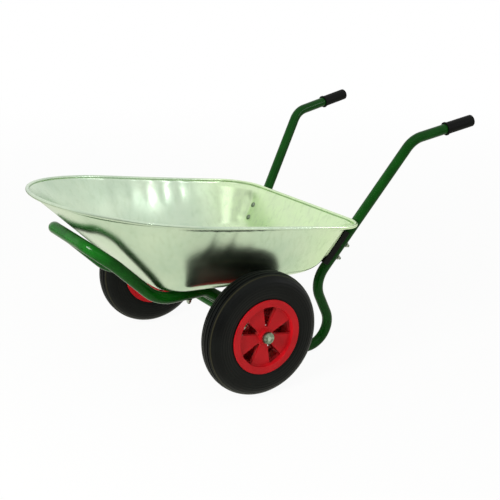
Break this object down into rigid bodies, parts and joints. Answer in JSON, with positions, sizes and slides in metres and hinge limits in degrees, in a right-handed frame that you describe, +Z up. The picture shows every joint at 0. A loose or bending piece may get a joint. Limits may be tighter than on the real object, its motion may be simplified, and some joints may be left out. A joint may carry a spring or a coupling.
{
  "type": "wheelbarrow",
  "caption": "Garden wheelbarrow with a deep pressed metal tray on a bent tube frame, pneumatic wheels on a cross axle, looped feet and rubber-gripped handles.",
  "frame": {"origin": "on the ground, under the middle of the length and width", "axes": "+X towards the hand grips, +Z up, +Y to the right seen from the front"},
  "size_m": [1.2468, 0.728, 0.6835],
  "materials": {
    "galvanised_sheet": "hot-dip galvanised sheet, smooth and fairly glossy",
    "green_paint": "gloss powder coat",
    "red_plastic": "moulded, semi-gloss",
    "tyre_rubber": "black tyre rubber",
    "tube_rubber": "smooth butyl rubber",
    "grip_rubber": "matt soft rubber",
    "black_plastic": "moulded, matt",
    "bright_zinc": "bright zinc plate"
  },
  "bodies": {
    "frame": {"tray": "galvanised_sheet", "front_frame": "green_paint", "axle": "green_paint", "axle_brackets": "green_paint", "axle_caps": "bright_zinc", "axle_washers": "bright_zinc", "split_pins": "bright_zinc", "floor_bolts": "bright_zinc", "floor_nuts": "bright_zinc", "floor_washers": "bright_zinc", "rear_bolts": "bright_zinc", "rear_nuts": "bright_zinc", "rear_washers": "bright_zinc", "handle_left": "green_paint", "grip_left": "grip_rubber", "tray_block_left": "black_plastic", "handle_right": "green_paint", "grip_right": "grip_rubber", "tray_block_right": "black_plastic"},
    "wheel_left": {"tyre_left": "tyre_rubber", "inner_tube_left": "tube_rubber", "valve_left": "tube_rubber", "rim_outer_left": "red_plastic", "rim_inner_left": "red_plastic", "rim_screws_left": "bright_zinc", "hub_bushes_left": "black_plastic"},
    "wheel_right": {"tyre_right": "tyre_rubber", "inner_tube_right": "tube_rubber", "valve_right": "tube_rubber", "rim_outer_right": "red_plastic", "rim_inner_right": "red_plastic", "rim_screws_right": "bright_zinc", "hub_bushes_right": "black_plastic"}
  },
  "joints": [
    {"name": "wheel_left_spin", "type": "hinge", "parent": "frame", "child": "wheel_left", "pos_m": [-0.1384, -0.314, 0.173], "axis": [0, 1, 0], "continuous": true},
    {"name": "wheel_right_spin", "type": "hinge", "parent": "frame", "child": "wheel_right", "pos_m": [-0.1384, 0.314, 0.173], "axis": [0, 1, 0], "continuous": true}
  ]
}
